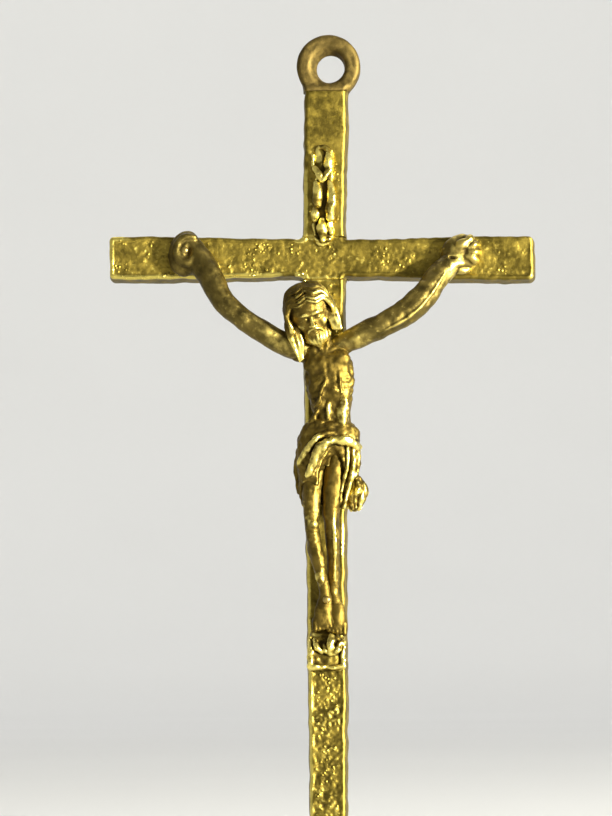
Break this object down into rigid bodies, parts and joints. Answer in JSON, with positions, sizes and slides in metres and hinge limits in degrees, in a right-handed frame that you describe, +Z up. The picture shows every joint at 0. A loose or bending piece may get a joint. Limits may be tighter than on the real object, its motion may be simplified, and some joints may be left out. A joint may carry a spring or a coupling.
{
  "type": "crucifix pendant",
  "caption": "Small cast brass crucifix pendant: slim cross with a round hanging eyelet, blank title scroll, footrest and a nailed figure in a loincloth.",
  "frame": {"origin": "centre of the hanging eyelet's bore, halfway through its thickness", "axes": "+Z up along the upright, from foot to eyelet; -Y to the front, where the figure is; +X to the right of someone facing the figure"},
  "size_m": [0.0272, 0.0055, 0.05],
  "materials": {
    "cross_brass": "cast, pebbled, patinated in the hollows",
    "figure_brass": "cast, worn bright on the high places",
    "nail_brass": "cast, dull"
  },
  "bodies": {
    "root": {"upright": "cross_brass", "crossbeam": "cross_brass", "hanging_eyelet": "cross_brass", "title_scroll": "cross_brass", "footrest": "cross_brass", "torso": "figure_brass", "head": "figure_brass", "right_arm": "figure_brass", "left_arm": "figure_brass", "right_leg": "figure_brass", "left_leg": "figure_brass", "loincloth": "figure_brass", "loincloth_knot": "figure_brass", "hand_nails": "nail_brass", "foot_nail": "nail_brass"}
  },
  "joints": []
}
